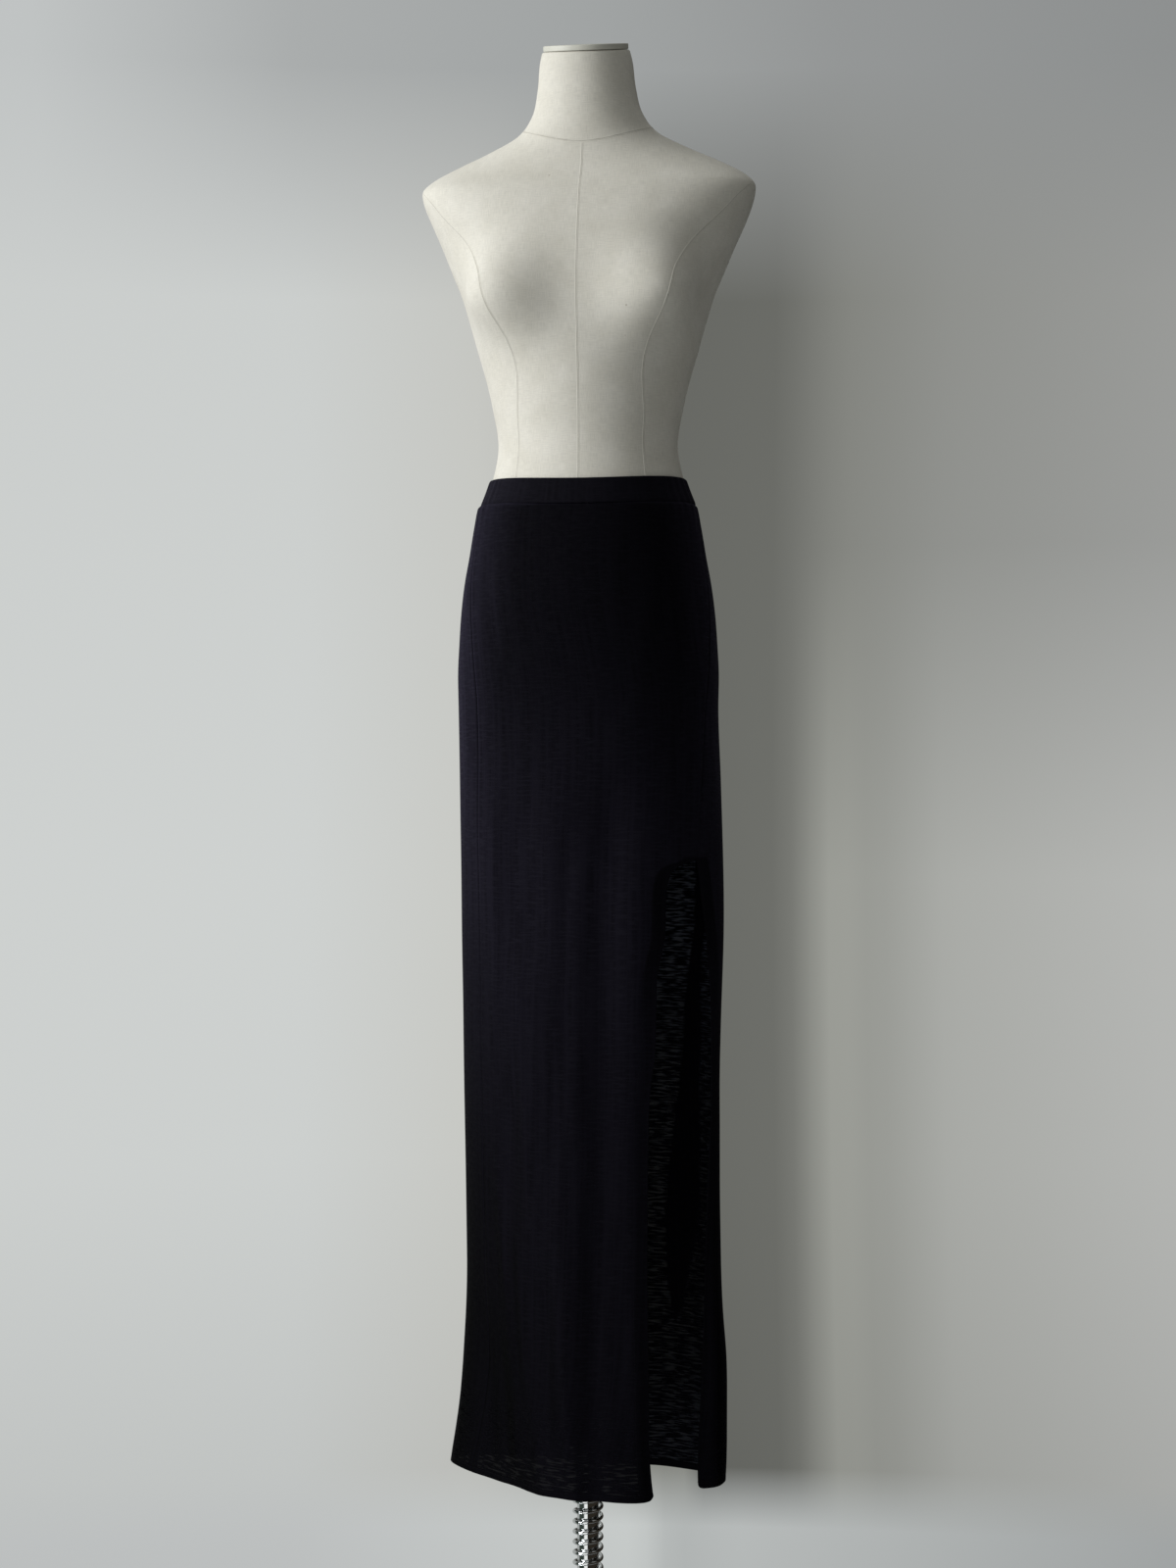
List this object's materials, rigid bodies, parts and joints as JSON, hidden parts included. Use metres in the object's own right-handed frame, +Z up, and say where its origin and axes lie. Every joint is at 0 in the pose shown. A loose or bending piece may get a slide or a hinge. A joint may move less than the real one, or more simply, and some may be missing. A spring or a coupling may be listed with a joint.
{
  "type": "maxi skirt on a dress form",
  "caption": "Straight floor-length skirt in thin black slub jersey with a narrow elastic waistband and a long side slit, worn by a limbless linen dress form on a chrome stand with a spring.",
  "frame": {"origin": "centre of the round base's underside, on the axis of the stand's pole", "axes": "+Z up along the pole, the form and the skirt's front face -Y, +X towards the viewer's right, which is the slit side"},
  "size_m": [0.42, 0.42, 1.9141],
  "materials": {
    "skirt_jersey": "thin black viscose slub jersey, matt, slightly sheer in one layer",
    "waistband_jersey": "the same black jersey doubled over elastic",
    "form_linen": "cream linen stretched smooth over a hard shell",
    "form_cap": "grey painted neck cap",
    "stand_chrome": "polished chrome plate",
    "base_chrome": "chrome plate, faintly brushed"
  },
  "bodies": {
    "root": {"skirt_waistband": "waistband_jersey", "skirt_front_panel": "skirt_jersey", "skirt_back_panel": "skirt_jersey", "form_torso": "form_linen", "form_neck_cap": "form_cap", "stand_base": "base_chrome", "stand_hub": "stand_chrome", "stand_pole": "stand_chrome", "stand_spring": "stand_chrome", "stand_spring_stop": "stand_chrome", "stand_form_socket": "stand_chrome"}
  },
  "joints": []
}
